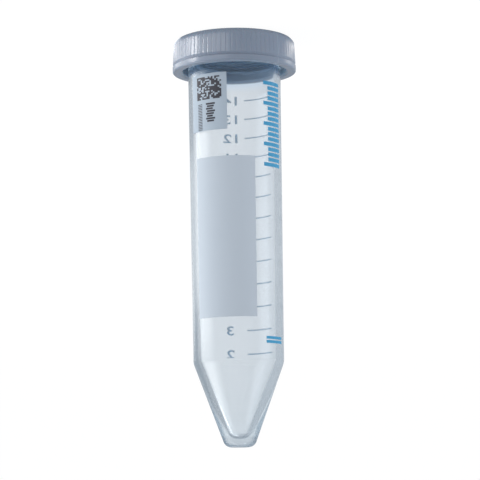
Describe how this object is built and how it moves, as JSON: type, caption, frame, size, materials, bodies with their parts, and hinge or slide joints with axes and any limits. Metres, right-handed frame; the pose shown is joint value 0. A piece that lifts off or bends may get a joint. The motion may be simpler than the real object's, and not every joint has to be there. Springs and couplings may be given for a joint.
{
  "type": "conical centrifuge tube with screw cap",
  "caption": "Clear conical-bottom centrifuge tube with a ribbed grey-blue screw cap, a wrap-on code label, a printed writing panel and a volume scale.",
  "frame": {"origin": "centre of the cap's flat top face, on which the closed tube stands upside down", "axes": "+Z along the tube's axis from the cap to the conical tip; -Y faces the printed side; the code label lies towards +X from it"},
  "size_m": [0.0266, 0.0266, 0.088],
  "materials": {
    "tube": "clear polypropylene, slightly hazy, smooth moulded surface",
    "cap": "opaque grey-blue polyethylene, satin, moulded grip ribs",
    "label": "thin pale grey-blue film label, satin",
    "panel_ink": "pale grey-blue printed writing field, matt",
    "scale_ink": "thin grey-blue printed lines and numbers",
    "accent_ink": "light blue printed bars",
    "label_ink": "near-black printed squares and bars"
  },
  "bodies": {
    "cap": {"cap": "cap"},
    "tube": {"tube": "tube", "code_label": "label"}
  },
  "joints": [
    {"name": "cap_release", "type": "slide", "parent": "cap", "child": "tube", "axis": [0, 0, 1], "range_m": [0, 0.02]}
  ]
}
